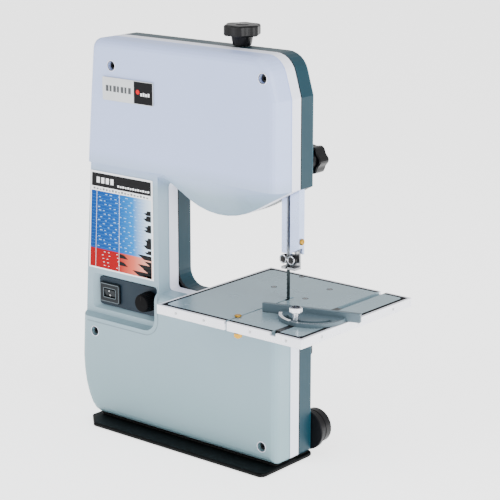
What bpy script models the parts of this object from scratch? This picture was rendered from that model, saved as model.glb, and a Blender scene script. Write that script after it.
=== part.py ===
"""Bench band saw: two wheels in a C-shaped body, tilting table, mitre gauge.

Sizes below are in millimetres and are scaled to metres when a mesh is stored.
X is right, Y is back (the cover and the operator are at -Y), Z is up.
"""
import math

import bmesh
import bpy
from mathutils import Matrix
from mathutils import Vector

for item in list(bpy.data.objects):
    bpy.data.objects.remove(item, do_unlink=True)

MM = 0.001

# Driving dimensions
COVER_FRONT = -27.0
PANEL_FRONT = -16.0
RIM_STEP = 6.5
COVER_BACK = 25.85
SHELL_FRONT = 26.15
SHELL_BACK = 55.3
WALL = 3.0
COVER_WALL = 2.5
GAP = 0.3
RIGHT = 171.0
LEFT_TOP = -165.0
COLUMN = -51.0
THROAT_FLOOR = 213.0
TOP = 571.0
CREASE = 391.5
BULGE = (46.0, 466.5, 128.0)
BLADE_X = 147.6
BLADE_Y = (28.0, 34.0)
BLADE_T = 0.5
UPPER = (39.6, 456.0, 108.0)
LOWER = (49.6, 110.0, 98.0)
WHEEL_Y = (23.0, 36.5)
TABLE_X = (25.0, 275.0)
TABLE_Y = (-103.4, 144.2)
TABLE_Z = (224.7, 230.7)
RAIL_LOW = 217.7
RAIL_GAP = 2.2
SLOT_X = 228.0
MOTOR = (-121.0, 80.0)
SCREW = (57.0, 41.0)
POST_KNOB = (153.5, 421.0)
GUIDE_Z = 287.5
GUIDE_R = 6.4
GUARD_Z = 314.0
TILT_BOLT = 45.0
MITRE_PIVOT = (SLOT_X, -18.0)
MITRE_TURN = 17.0
PORT = (161.0, 36.0)
COVER_SCREWS = ((-126.5, 533.9), (148.2, 543.7), (-170.7, 135.0), (147.4, 30.8))

collection = bpy.data.collections.new("band_saw")
bpy.context.scene.collection.children.link(collection)
tools = bpy.data.collections.new("cutters")
bpy.context.scene.collection.children.link(tools)


# Shared helpers
def look(name, colour, roughness, metallic):
    """One Principled material."""
    mat = bpy.data.materials.new(name)
    mat.use_nodes = True
    shader = mat.node_tree.nodes["Principled BSDF"]
    shader.inputs["Base Color"].default_value = (*colour, 1.0)
    shader.inputs["Roughness"].default_value = roughness
    shader.inputs["Metallic"].default_value = metallic
    mat.diffuse_color = (*colour, 1.0)
    return mat


PALE = (0.52, 0.57, 0.66)
SLATE = (0.075, 0.155, 0.215)
BLACK = (0.016, 0.016, 0.018)
GREY = (0.36, 0.40, 0.43)
BRIGHT = (0.75, 0.77, 0.80)
STEEL = (0.55, 0.56, 0.58)
BRASS = (0.62, 0.43, 0.12)
RUBBER = (0.03, 0.03, 0.032)
WHITE = (0.85, 0.86, 0.87)


def place(axis, a, b, h):
    """Point from outline coordinates and a height along an axis."""
    if axis == "X":
        return (h, a, b)
    if axis == "Y":
        return (a, h, b)
    return (a, b, h)


def rounded(corners, inset=0.0):
    """Closed outline from (a, b, radius) corners in counter-clockwise order.

    A negative radius is kept as it is when the outline is moved inwards.
    """
    points = []
    total = len(corners)
    for index, (a, b, radius) in enumerate(corners):
        before = Vector(corners[index - 1][:2])
        here = Vector((a, b))
        after = Vector(corners[(index + 1) % total][:2])
        d0 = (here - before).normalized()
        d1 = (after - here).normalized()
        n0 = Vector((-d0.y, d0.x))
        n1 = Vector((-d1.y, d1.x))
        turn = math.atan2(d0.x * d1.y - d0.y * d1.x, d0.dot(d1))
        mitre = here + (n0 + n1) * (inset / (1.0 + n0.dot(n1)))
        if radius == 0 or abs(turn) < 0.02:
            points.append((mitre.x, mitre.y))
            continue
        side = 1.0 if turn > 0 else -1.0
        size = -radius if radius < 0 else max(radius - side * inset, 0.3)
        start = mitre - d0 * size * math.tan(abs(turn) / 2)
        centre = start + n0 * size * side
        arm = start - centre
        steps = max(1, round(abs(turn) / math.radians(90) * (2 + abs(radius) / 6)))
        for k in range(steps + 1):
            t = turn * k / steps
            x = centre.x + arm.x * math.cos(t) - arm.y * math.sin(t)
            y = centre.y + arm.x * math.sin(t) + arm.y * math.cos(t)
            points.append((x, y))
    return points


def box_outline(a0, b0, a1, b1, radius=0.0):
    """Rectangle with rounded corners."""
    corners = [(a0, b0, radius), (a1, b0, radius), (a1, b1, radius), (a0, b1, radius)]
    return rounded(corners)


def circle(a, b, radius, count=32):
    """Round outline."""
    step = math.tau / count
    return [(a + radius * math.cos(k * step), b + radius * math.sin(k * step)) for k in range(count)]


def arc(a, b, radius, start, end, count):
    """Open arc, angles in degrees."""
    points = []
    for k in range(count + 1):
        t = math.radians(start + (end - start) * k / count)
        points.append((a + radius * math.cos(t), b + radius * math.sin(t)))
    return points


def prism(bm, outline, axis, low, high):
    """Extrude a closed outline along an axis."""
    before = set(bm.verts)
    verts = [bm.verts.new(place(axis, a, b, low)) for a, b in outline]
    face = bm.faces.new(verts)
    made = bmesh.ops.extrude_face_region(bm, geom=[face], use_keep_orig=True)
    lifted = [g for g in made["geom"] if isinstance(g, bmesh.types.BMVert)]
    bmesh.ops.translate(bm, verts=lifted, vec=place(axis, 0, 0, high - low))
    return [v for v in bm.verts if v not in before]


def turned(bm, profile, axis, a, b, count=32, closed=False):
    """Spin a (radius, height) profile about an axis through (a, b)."""
    verts = [bm.verts.new(place(axis, a + r, b, h)) for r, h in profile]
    edges = [bm.edges.new(pair) for pair in zip(verts, verts[1:])]
    if closed:
        edges.append(bm.edges.new((verts[-1], verts[0])))
    bmesh.ops.spin(bm, geom=verts + edges, cent=place(axis, a, b, 0), axis=place(axis, 0, 0, 1),
                   angle=math.tau, steps=count, use_merge=True)
    bmesh.ops.remove_doubles(bm, verts=bm.verts[:], dist=0.003)


def loft(bm, rings):
    """Closed body through unlike sections with equal point counts."""
    rows = [[bm.verts.new(p) for p in ring] for ring in rings]
    for low, high in zip(rows, rows[1:]):
        for k in range(len(low)):
            n = (k + 1) % len(low)
            bm.faces.new((low[k], low[n], high[n], high[k]))
    bm.faces.new(rows[0])
    bm.faces.new(rows[-1])


def settle(name, bm, origin, group, angle):
    """Store a bmesh as an object whose origin is given in millimetres."""
    bmesh.ops.remove_doubles(bm, verts=bm.verts[:], dist=0.003)
    bmesh.ops.recalc_face_normals(bm, faces=bm.faces[:])
    bmesh.ops.translate(bm, verts=bm.verts[:], vec=-Vector(origin))
    bmesh.ops.scale(bm, verts=bm.verts[:], vec=(MM, MM, MM))
    mesh = bpy.data.meshes.new(name)
    bm.to_mesh(mesh)
    bm.free()
    ob = bpy.data.objects.new(name, mesh)
    ob.location = Vector(origin) * MM
    group.objects.link(ob)
    mesh.shade_smooth()
    mesh.set_sharp_from_angle(angle=math.radians(angle))
    return ob


def part(name, bm, mat, origin=(0, 0, 0), angle=32):
    """A named piece of the saw."""
    ob = settle(name, bm, origin, collection, angle)
    ob.data.materials.append(mat)
    return ob


def tool(name, bm):
    """A shape that only cuts or joins another."""
    ob = settle(name, bm, (0, 0, 0), tools, 32)
    ob.hide_render = True
    ob.display_type = "WIRE"
    return ob


def combine(target, helper, operation="DIFFERENCE"):
    """Boolean between meshes."""
    mod = target.modifiers.new(helper.name, "BOOLEAN")
    mod.solver = "EXACT"
    mod.operation = operation
    mod.object = helper


def soften(target, width, segments=1, angle=40):
    """Small bevel on sharp edges."""
    mod = target.modifiers.new("edges", "BEVEL")
    mod.width = width * MM
    mod.segments = segments
    mod.limit_method = "ANGLE"
    mod.angle_limit = math.radians(angle)


def block(name, mat, axis, outline, low, high, origin=(0, 0, 0), bevel=0.0):
    """A prism as a piece."""
    bm = bmesh.new()
    prism(bm, outline, axis, low, high)
    ob = part(name, bm, mat, origin)
    if bevel:
        soften(ob, bevel)
    return ob


def rod(name, mat, axis, a, b, profile, origin=(0, 0, 0), count=32, closed=False):
    """A turned piece."""
    bm = bmesh.new()
    turned(bm, profile, axis, a, b, count, closed)
    return part(name, bm, mat, origin)


def cut(target, shapes, label="cut"):
    """Cut prisms (axis, outline, low, high) out of a piece."""
    for index, (axis, outline, low, high) in enumerate(shapes):
        bm = bmesh.new()
        prism(bm, outline, axis, low, high)
        combine(target, tool(f"{target.name}_{label}{index}", bm))


def lobes(a, b, radius, depth, count=6, steps=8):
    """Outline of a knob with rounded lobes."""
    points = []
    for k in range(count * steps):
        t = math.tau * k / (count * steps)
        r = radius - depth * (0.5 - 0.5 * math.cos(count * t))
        points.append((a + r * math.cos(t), b + r * math.sin(t)))
    return points


def knob(name, mat, axis, a, b, head, size, depth, stem, origin):
    """Lobed head with a turned stem."""
    low, high = head
    bm = bmesh.new()
    rings = []
    for h, inset in ((low, 1.6), (low + 1.6, 0), (high - 2.2, 0), (high - 0.6, 1.0), (high, 2.6)):
        rings.append([place(axis, p, q, h) for p, q in lobes(a, b, size - inset, depth)])
    loft(bm, rings)
    ob = part(name, bm, mat, origin)
    bm = bmesh.new()
    turned(bm, stem, axis, a, b, 24)
    combine(ob, tool(name + "_stem", bm), "UNION")
    return ob


# Body outline, seen from the front
def body_corners(heel):
    """Corners (x, z, radius, on the bulge) of the C-shaped body; heel is the throat radius."""
    corners = []
    for k in range(7):
        t = math.radians(180 + 90 * k / 6)
        corners.append((-167 + 34 * math.cos(t), 92 + 84 * math.sin(t), 0, False))
    corners += [(RIGHT, 8, 3, False), (RIGHT, 190, 8, False), (148, THROAT_FLOOR, 8, False)]
    corners += [(COLUMN, THROAT_FLOOR, heel, False)]
    cx, cz, radius = BULGE
    start = math.degrees(math.atan2(-math.sqrt(radius ** 2 - (COLUMN - cx) ** 2), COLUMN - cx))
    end = math.degrees(math.atan2(354.4 - cz, 107.7 - cx))
    chain = arc(cx, cz, radius, start, end, 10)
    corners.append((chain[0][0], chain[0][1], -8, True))
    corners += [(x, z, 0, True) for x, z in chain[1:]]
    corners += [(RIGHT, 389.2, 0, True), (RIGHT, 514, 2, False), (154.2, TOP, 32, False)]
    corners.append((LEFT_TOP, TOP, 16, False))
    for k in range(1, 6):
        t = k / 6
        x = LEFT_TOP + (-201 - LEFT_TOP) * t - 12 * t * (1 - t)
        corners.append((x, TOP - (TOP - 92) * t, 0, False))
    return corners


COVER_CORNERS = body_corners(5)
SHELL_CORNERS = body_corners(24)


def body_ring(corners, y, inset=0.0, crease=None, share=1.0):
    """Section of the body; the bulge rises to a straight crease towards the front."""
    ring = []
    for index, corner in enumerate(corners):
        near = [corners[index - 1][:3], corner[:3], corners[(index + 1) % len(corners)][:3]]
        for x, z in corner_points(near, inset):
            if corner[3] and crease is not None:
                z = crease + (z - crease) * share
            ring.append((x, y, z))
    return ring


def corner_points(near, inset):
    """Rounded points of the middle corner of three."""
    whole = [near[0][:2] + (0,), near[1], near[2][:2] + (0,)]
    return rounded(whole, inset)[1:-1]


# Colours
cover_paint = look("cover_paint", PALE, 0.42, 0.0)
shell_paint = look("shell_paint", SLATE, 0.45, 0.0)

# Base
base_corners = [(-147, -58, 3), (174, -58, 10), (174, 58, 10), (-174, 58, 10), (-174, -33, 3)]
bm = bmesh.new()
rings = []
for z, inset in ((0, 1.5), (1.5, 0), (4, 0), (5.4, 0.6), (6, 2)):
    rings.append([(x, y, z) for x, y in rounded(base_corners, inset)])
loft(bm, rings)
base = part("base_plate", bm, look("base_black", BLACK, 0.5, 0.0))
block("base_gasket", look("gasket_rubber", RUBBER, 0.8, 0.0), "Z",
      rounded([(-165, -22, 4), (169, -22, 4), (169, 52, 4), (-165, 52, 4)]), 6.3, 7.7)

# Front cover
SPAN = RIM_STEP - COVER_FRONT


def share_at(y):
    """How far the bulge has dropped from the crease to its arc."""
    return min(max((y - COVER_FRONT) / SPAN, 0.0), 1.0)


bm = bmesh.new()
rings = []
for k in range(5):
    t = math.radians(90 * k / 4)
    y = PANEL_FRONT - 11 * math.cos(t)
    rings.append(body_ring(COVER_CORNERS, y, 11 - 11 * math.sin(t), CREASE, share_at(y)))
for y, inset in ((5.0, 0), (5.4, 1.0), (6.9, 1.0), (7.3, 0), (COVER_BACK, 0)):
    rings.append(body_ring(COVER_CORNERS, y, inset, CREASE, share_at(y)))
loft(bm, rings)
cover = part("front_cover", bm, cover_paint, angle=24)


def recess(name, grow):
    """Space in front of the column panel, wider and deeper by grow."""
    right = COLUMN + 0.5 + grow
    rings = []
    for y in (PANEL_FRONT + grow, COVER_FRONT - 13):
        low = 156 + 4 * (y - grow - COVER_FRONT) / 11 - grow
        side = (right, 237, 0)
        corners = [(-260, low, 0), (right, low, 20), side, (right + 20, 240, 0)]
        corners += [(right + 20, 390 + grow, 0), (-260, 390 + grow, 0)]
        rings.append([(x, y, z) for x, z in rounded(corners)])
    bm = bmesh.new()
    loft(bm, rings)
    return tool(name, bm)


def pocket(name, grow):
    """Sloped pocket for the switch plate."""
    bm = bmesh.new()
    front = box_outline(-187 - grow, 166 - grow, -54.5 + grow, 221.5 + grow, 5)
    back = box_outline(-175 - grow, 173 - grow, -55.5 + grow, 218 + grow, 5)
    fore = [(x, PANEL_FRONT - 3, z) for x, z in front]
    aft = [(x, PANEL_FRONT + 7 + grow, z) for x, z in back]
    loft(bm, [fore, aft])
    return tool(name, bm)


bm = bmesh.new()
rings = []
for k in range(4):
    t = math.radians(90 * k / 3)
    y = PANEL_FRONT - 8.5 * math.cos(t)
    inset = COVER_WALL + 8.5 - 8.5 * math.sin(t)
    rings.append(body_ring(COVER_CORNERS, y, inset, CREASE + 4, share_at(y)))
for y in (RIM_STEP, COVER_BACK + 3):
    rings.append(body_ring(COVER_CORNERS, y, COVER_WALL, CREASE + 4, share_at(y)))
loft(bm, rings)
cavity = tool("cover_cavity", bm)
combine(cavity, recess("recess_skin", COVER_WALL))
combine(cavity, pocket("pocket_skin", 2.0))
for index, (x, z) in enumerate(COVER_SCREWS):
    bm = bmesh.new()
    prism(bm, circle(x, z, 8.9, 24), "Y", COVER_FRONT - 5, -8)
    combine(cavity, tool(f"cover_boss{index}", bm))
combine(cover, recess("recess_cut", 0.0))
combine(cover, pocket("pocket_cut", 0.0))
combine(cover, cavity)
cover_holes = []
for x, z in COVER_SCREWS:
    cover_holes.append(("Y", circle(x, z, 6.3, 24), COVER_FRONT - 5, -17.7))
for x, z in COVER_SCREWS:
    cover_holes.append(("Y", circle(x, z, 2.6, 16), -19, -5))
cover_holes.append(("Y", box_outline(-164, 184.5, -138, 203.5, 1), -12, -5))
cover_holes.append(("Y", circle(-71, 197, 5, 20), -12, -5))
cut(cover, cover_holes)

# Rear housing
bm = bmesh.new()
rings = []
for y, inset in ((SHELL_FRONT, 0), (52.3, 0), (54.3, 0.8), (SHELL_BACK, 2.8)):
    rings.append(body_ring(SHELL_CORNERS, y, inset))
loft(bm, rings)
shell = part("rear_housing", bm, shell_paint, angle=24)
bm = bmesh.new()
loft(bm, [body_ring(SHELL_CORNERS, y, WALL) for y in (SHELL_FRONT - 3, 52.3)])
hollow = tool("shell_hollow", bm)
for index, (x, z) in enumerate(COVER_SCREWS):
    bm = bmesh.new()
    prism(bm, circle(x, z, 6.0, 20), "Y", 28.0, 60)
    combine(hollow, tool(f"shell_pillar{index}", bm))
combine(shell, hollow)
shell_holes = [("Y", circle(x, z, 2.5, 16), 20, 50) for x, z in COVER_SCREWS]
shell_holes.append(("Z", box_outline(132.6, 20, 167.8, 47), 350, 402))
shell_holes.append(("Z", box_outline(140, 20, 156, 40), 184, 225))
shell_holes.append(("Z", circle(SCREW[0], SCREW[1], 4.2, 24), 560, 580))
shell_holes.append(("Y", circle(POST_KNOB[0], POST_KNOB[1], 3.8, 24), 48, 60))
shell_holes.append(("Y", box_outline(154.5, 18, 167.5, 54), 48, 60))
cut(shell, shell_holes)

# Cover screws
black_steel = look("screw_black", (0.02, 0.02, 0.022), 0.35, 0.6)
for index, (x, z) in enumerate(COVER_SCREWS):
    profile = [(0, -22.6), (5.0, -22.6), (5.3, -22.2), (5.3, -18.0), (2.2, -18.0), (2.2, 46), (0, 46)]
    screw = rod(f"cover_screw_{index + 1}", black_steel, "Y", x, z, profile, count=20)
    cut(screw, [("Y", circle(x, z, 2.9, 6), -30, -19.6)])

# Badge and chart
block("name_plate", look("badge_silver", (0.62, 0.63, 0.66), 0.3, 0.8), "Y",
      box_outline(-142, 485, -45.5, 518, 1.5), -29.2, COVER_FRONT - GAP)
block("speed_chart", look("chart_paper", WHITE, 0.55, 0.0), "Y",
      [(-190, 229), (-60, 229), (-60, 376), (-181, 376)], -16.9, PANEL_FRONT - GAP)

# Switch panel
panel_y = PANEL_FRONT + 7
panel = block("switch_panel", look("panel_slate", (0.06, 0.085, 0.105), 0.5, 0.0), "Y",
              box_outline(-173.6, 174, -57.2, 217, 5), panel_y - 2.3, panel_y - GAP)
cut(panel, [("Y", box_outline(-164, 184.5, -138, 203.5, 1), -20, 0),
            ("Y", circle(-71, 197, 4, 20), -20, 0)])
bezel_front = panel_y - 2.6 - 3.2
bm = bmesh.new()
prism(bm, box_outline(-171, 179, -131, 209, 2.5), "Y", bezel_front, panel_y - 2.6)
bezel = part("switch_bezel", bm, look("bezel_black", BLACK, 0.4, 0.0))
soften(bezel, 0.8)
bm = bmesh.new()
prism(bm, box_outline(-163.5, 185, -138.5, 203, 0.5), "Y", bezel_front + 1.5, 14)
combine(bezel, tool("bezel_body", bm), "UNION")
cut(bezel, [("Y", box_outline(-162, 186.5, -140, 201.5), bezel_front - 3, 2)])
rocker = []
for y, z in ((-1.0, 191.0), (-1.0, 197.0), (-12.8, 199.1), (-15.6, 199.3), (-14.3, 194), (-12.9, 188.2)):
    rocker.append((y, z))
block("switch_rocker", look("rocker_black", (0.02, 0.02, 0.022), 0.3, 0.0), "X", rocker,
      -161.5, -140.5, (-151, -6, 194), 0.4)

# Speed control
knob_front = -33.0
profile = [(0, knob_front), (11.5, knob_front), (12.6, knob_front + 1.2), (14.2, panel_y - 5.2)]
profile += [(14.2, panel_y - 3.2), (13.6, panel_y - 2.8), (2.8, panel_y - 2.8), (2.8, -1), (0, -1)]
speed_knob = rod("speed_knob", look("knob_black", BLACK, 0.42, 0.0), "Y", -71, 197, profile,
                 (-71, 0, 197), 36)

# Motor and drive
mx, mz = MOTOR
profile = [(0, -12), (38.5, -12), (40, -10.5), (40, 28.5), (38.5, 30), (0, 30)]
rod("motor_body", look("motor_steel", STEEL, 0.4, 1.0), "Y", mx, mz, profile, count=40)
profile = [(0, -20), (34, -20), (38, -16), (38, -12.3), (0, -12.3)]
rod("motor_end_cap", look("cap_black", BLACK, 0.5, 0.0), "Y", mx, mz, profile, count=32)
outline = [(30.3, 38), (52, 38), (52, 42), (34.3, 42), (34.3, 118), (52, 118), (52, 122), (30.3, 122)]
bracket = block("motor_bracket", look("bracket_steel", STEEL, 0.45, 1.0), "X", outline, -163, -79)
cut(bracket, [("Y", circle(mx, mz, 8, 24), 25, 40)])
rod("motor_shaft", look("shaft_steel", BRIGHT, 0.25, 1.0), "Y", mx, mz,
    [(0, 30.3), (3, 30.3), (3, 48), (0, 48)], (mx * 1.0, 39, mz), 20)
rod("motor_pulley", look("pulley_alloy", BRIGHT, 0.35, 1.0), "Y", mx, mz,
    [(3.2, 40), (11.5, 40), (11.5, 41.2), (10, 41.2), (10, 46.8), (11.5, 46.8), (11.5, 48), (3.2, 48)],
    (mx, 44, mz), 32, True)
lx, lz, lr = LOWER
profile = [(6.4, 41), (15, 41), (15, 42.5), (37, 42.5), (37, 41), (41.5, 41), (41.5, 41.9), (40, 41.9)]
profile += [(40, 46.1), (41.5, 46.1), (41.5, 47), (37, 47), (37, 45.5), (15, 45.5), (15, 47), (6.4, 47)]
rod("drive_pulley", look("pulley_black", BLACK, 0.45, 0.0), "Y", lx, lz, profile, (lx, 44, lz), 48, True)


def around(first, second, extra, count):
    """Loop around two circles (x, z, r), each grown by extra."""
    ax, az, ar = first
    bx, bz, br = second
    line = math.atan2(bz - az, bx - ax)
    lean = math.acos((ar - br) / math.hypot(bx - ax, bz - az))
    points = []
    for (cx, cz, cr), begin, end in ((first, line + lean, line + math.tau - lean),
                                     (second, line - lean, line + lean)):
        for k in range(count + 1):
            t = begin + (end - begin) * k / count
            points.append((cx + (cr + extra) * math.cos(t), cz + (cr + extra) * math.sin(t)))
    return points


def band(name, mat, first, second, inner, outer, low, high, count):
    """Closed belt between two loops around the same circles."""
    bm = bmesh.new()
    rows = []
    for y, extra in ((low, inner), (high, inner), (high, outer), (low, outer)):
        rows.append([bm.verts.new((x, y, z)) for x, z in around(first, second, extra, count)])
    for index, row in enumerate(rows):
        other = rows[(index + 1) % 4]
        for k in range(len(row)):
            n = (k + 1) % len(row)
            bm.faces.new((row[k], row[n], other[n], other[k]))
    return part(name, bm, mat)


band("drive_belt", look("belt_rubber", RUBBER, 0.7, 0.0), (mx, mz, 10), (lx, lz, 40), 0.3, 1.4, 42.2, 45.8, 20)

# Wheels
alloy = look("wheel_alloy", (0.5, 0.51, 0.53), 0.4, 1.0)
tyre_rubber = look("wheel_tyre", RUBBER, 0.75, 0.0)
bearing_steel = look("bearing_steel", BRIGHT, 0.2, 1.0)
w0, w1 = WHEEL_Y
for label, (cx, cz, reach), back in (("upper", UPPER, w1), ("lower", LOWER, 40.7)):
    rim = reach - 0.75
    centre = (cx, (w0 + w1) / 2, cz)
    profile = [(12.3, w0), (18, w0), (18, 28), (rim - 8, 28), (rim - 8, w0), (rim - 2.2, w0), (rim - 2.2, w1)]
    profile += [(rim - 8, w1), (rim - 8, 31.5), (18, 31.5), (18, back), (12.3, back)]
    wheel = rod(f"{label}_wheel", alloy, "Y", cx, cz, profile, centre, 64, True)
    holes = []
    for k in range(5):
        t = math.radians(90 + 72 * k)
        hx = cx + 0.56 * reach * math.cos(t)
        hz = cz + 0.56 * reach * math.sin(t)
        holes.append(("Y", circle(hx, hz, reach * 0.2, 20), 24, 35))
    cut(wheel, holes)
    profile = [(rim - 2, w0), (rim, w0 + 0.4), (rim, w1 - 0.4), (rim - 2, w1)]
    rod(f"{label}_tyre", tyre_rubber, "Y", cx, cz, profile, centre, 64, True)
    profile = [(6.06, w0 + 1), (12, w0 + 1), (12, back - 1), (6.06, back - 1)]
    rod(f"{label}_bearing", bearing_steel, "Y", cx, cz, profile, centre, 32, True)
axle_steel = look("axle_steel", STEEL, 0.3, 1.0)
profile = [(0, 20), (5.4, 20), (6, 20.6), (6, 48.5), (20, 48.5), (20, 52), (0, 52)]
rod("lower_axle", axle_steel, "Y", lx, lz, profile, count=32)
ux, uz, ur = UPPER
profile = [(0, 20), (5.4, 20), (6, 20.6), (6, 37), (9, 37), (9, 38.2), (0, 38.2)]
rod("upper_axle", axle_steel, "Y", ux, uz, profile, (ux, 38, uz), 32)

# Blade
band("blade", look("blade_steel", (0.25, 0.26, 0.27), 0.3, 1.0), LOWER, UPPER,
     -BLADE_T / 2, BLADE_T / 2, BLADE_Y[0], BLADE_Y[1], 32)

# Blade tension
sx, sy = SCREW
outline = [(15, 40), (24.5, 40), (24.5, 48.4), (75.5, 48.4), (75.5, 40), (85, 40), (85, 52), (15, 52)]
block("tension_bracket", look("tension_steel", STEEL, 0.45, 1.0), "Z", outline, 405, 540)
carriage = block("tension_carriage", look("carriage_iron", (0.12, 0.125, 0.13), 0.55, 0.9), "Z",
                 box_outline(25, 38.5, 75, 48), 425, 495, (sx, sy, 460), 0.6)
cut(carriage, [("Z", circle(sx, sy, 3.62, 24), 420, 500)])
profile = [(0, 470), (3, 470), (3.5, 470.6), (3.5, 588), (0, 588)]
rod("tension_screw", look("screw_bright", BRIGHT, 0.3, 1.0), "Z", sx, sy, profile, (sx, sy, 580), 24)
stem = [(0, 572), (11.5, 572), (13, 573), (16, 588), (0, 588)]
top_knob = knob("tension_knob", look("tension_black", BLACK, 0.45, 0.0), "Z", sx, sy, (586, 601),
                26.5, 3.6, stem, (sx, sy, 590))
cut(top_knob, [("Z", circle(sx, sy, 3.8, 20), 565, 588.5)])

# Guide post, clamp and blade guides
outline = [(136, 30), (145, 30), (145, 31.6), (137.6, 31.6), (137.6, 40.4), (164.4, 40.4)]
outline += [(164.4, 31.6), (150.5, 31.6), (150.5, 30), (166, 30), (166, 42), (136, 42)]
post = block("guide_post", look("post_nickel", BRIGHT, 0.22, 1.0), "Z", outline, 295.5, 455,
             (151, 36, 372))
cut(post, [("Z", box_outline(130, 25, 150.2, 50), 374, 470),
           ("Y", [(150.2, 285), (170, 285), (170, 306.5), (166, 304.5), (152, 296.5)], 25, 39),
           ("X", circle(35.5, GUARD_Z, 2.4, 16), 160, 170)])
outline = [(148, 52), (148, 42.4), (166.4, 42.4), (166.4, 29.6), (150.9, 29.6), (150.9, 26.6)]
outline += [(167.7, 26.6), (167.7, 52)]
clamp = block("guide_clamp_block", look("clamp_iron", (0.1, 0.105, 0.11), 0.55, 0.9), "Z",
              outline, 400, 442)
cut(clamp, [("Y", circle(POST_KNOB[0], POST_KNOB[1], 3.1, 24), 40, 55)])
stem = [(0, 42.5), (3, 42.5), (3, 56.2), (9, 56.2), (11, 58), (14, 68), (0, 68)]
knob("post_clamp_knob", look("clamp_black", BLACK, 0.45, 0.0), "Y", POST_KNOB[0], POST_KNOB[1],
     (66, 87), 20.5, 3.0, stem, (POST_KNOB[0], 70, POST_KNOB[1]))
profile = [(0, 162.6), (2.0, 162.6), (2.0, 166.3), (4.4, 166.3), (4.4, 168), (3.4, 169), (0, 169)]
guard_screw = rod("guard_screw", look("brass_screw", BRASS, 0.3, 1.0), "X", 35.5, GUARD_Z, profile,
                  (151, 36, 372), 20)
outline = [(26, 274), (40.1, 274), (40.1, 306), (37.2, 306), (37.2, 277.5), (26, 277.5)]
bracket = block("guide_bracket", look("guide_steel", (0.35, 0.36, 0.38), 0.35, 1.0), "X", outline,
                138.2, 162.2, (151, 36, 372), 0.3)
cut(bracket, [("Z", box_outline(146, 20, 149.2, 35.5), 260, 280),
              ("Y", box_outline(142.3, 285.5, 152.9, 297.5), 30, 45)])
ball = look("guide_black", BLACK, 0.3, 0.3)
for label, gx in (("left", BLADE_X - GUIDE_R - 0.5), ("right", BLADE_X + GUIDE_R + 0.5)):
    profile = [(0, 26.6), (1.6, 26.6), (1.6, 27.2), (GUIDE_R, 27.2), (GUIDE_R, 33), (1.6, 33), (1.6, 36.9), (0, 36.9)]
    rod(f"guide_bearing_{label}", ball, "Y", gx, GUIDE_Z, profile, (gx, 30, GUIDE_Z), 24)
profile = [(0, 142.6), (2.8, 142.6), (2.8, 152.6), (0, 152.6)]
rod("thrust_bearing", bearing_steel, "X", 37.2, 291.5, profile, (BLADE_X, 37.2, 291.5), 20)
lower_guide = block("lower_guide_block", look("lower_steel", STEEL, 0.4, 1.0), "Z",
                    box_outline(142.5, 29, 152.7, 52), 192, 203)
cut(lower_guide, [("Z", box_outline(146.8, 20, 148.4, 34.6), 185, 210)])

# Table
grey = look("table_grey", GREY, 0.4, 0.3)
rail = look("rail_bright", BRIGHT, 0.28, 1.0)
x0, x1 = TABLE_X
y0, y1 = TABLE_Y
z0, z1 = TABLE_Z
seam = 4.0 + GAP
plate = block("table_plate", grey, "Z", box_outline(x0 + seam, y0 + seam, x1 - seam, y1 - seam),
              z0, z1, (BLADE_X, 30, z1))
slit = [(BLADE_X - 1.4, -120), (BLADE_X + 1.4, -120), (BLADE_X + 1.4, 21), (BLADE_X + 2.6, 22)]
slit += [(BLADE_X + 2.6, 42), (BLADE_X - 2.6, 42), (BLADE_X - 2.6, 22), (BLADE_X - 1.4, 21)]
cut(plate, [("Z", slit, z0 - 5, z1 + 5), ("Z", box_outline(SLOT_X - 5, -130, SLOT_X + 5, 170), z1 - 4.4, z1 + 5),
            ("Z", circle(BLADE_X, -77, 3.6, 20), z0 - 5, z1 + 5),
            ("Y", [(BLADE_X, z0 - 2), (BLADE_X + 9.8, z0 - 2), (BLADE_X + 2.6, z1), (BLADE_X, z1)], 22, 42)])
for name, ax, ay, bx, by in (("rail_front_left", x0, y0, BLADE_X - RAIL_GAP, y0 + 4),
                             ("rail_front_right", BLADE_X + RAIL_GAP, y0, x1, y0 + 4),
                             ("rail_rear", x0, y1 - 4, x1, y1),
                             ("rail_left", x0, y0 + seam, x0 + 4, y1 - seam),
                             ("rail_right", x1 - 4, y0 + seam, x1, y1 - seam)):
    piece = block(name, rail, "Z", box_outline(ax, ay, bx, by), RAIL_LOW, z1, (BLADE_X, 30, z1), 0.4)
    if name in ("rail_front_right", "rail_rear"):
        cut(piece, [("Z", box_outline(SLOT_X - 5, ay - 5, SLOT_X + 5, by + 5), z1 - 4.4, z1 + 5)])
profile = [(0, 201), (2.8, 201), (2.8, 203), (5.6, 203), (5.6, 208), (3, 208), (3, 231.9)]
profile += [(5, 231.9), (5, 232.7), (4, 233.4), (0, 233.4)]
rod("slot_pin", look("pin_brass", BRASS, 0.28, 1.0), "Z", BLADE_X, -77, profile,
    (BLADE_X, 30, z1), 24)

# Trunnion and tilt lock
bx, bz = BLADE_X, TABLE_Z[1]
outline = rounded([(112, 146, 5), (168, 146, 5), (168, 200, 2), (157, 211, 2), (112, 211, 5)])
trunnion_bracket = block("trunnion_bracket", look("trunnion_iron", (0.1, 0.11, 0.12), 0.55, 0.9), "Y",
                         outline, SHELL_BACK + GAP, 59.7)
cut(trunnion_bracket, [("Y", circle(bx, bz - TILT_BOLT, 4.08, 24), 50, 65)])
edge = math.degrees(math.asin(10.0 / 58.0))
half_moon = arc(bx, bz, 58, 180 + edge, 360 - edge, 24)
trunnion = block("table_trunnion", look("moon_iron", (0.12, 0.13, 0.14), 0.5, 0.9), "Y", half_moon,
                 60, 68, (bx, 64, bz))
bm = bmesh.new()
prism(bm, box_outline(84, 60.8, 206, 137, 6), "Z", 218.6, z0 - GAP)
combine(trunnion, tool("trunnion_flange", bm), "UNION")
sweep = arc(bx, bz, TILT_BOLT - 4.6, 263, 322, 14) + arc(bx, bz, TILT_BOLT + 4.6, 322, 263, 14)
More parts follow.
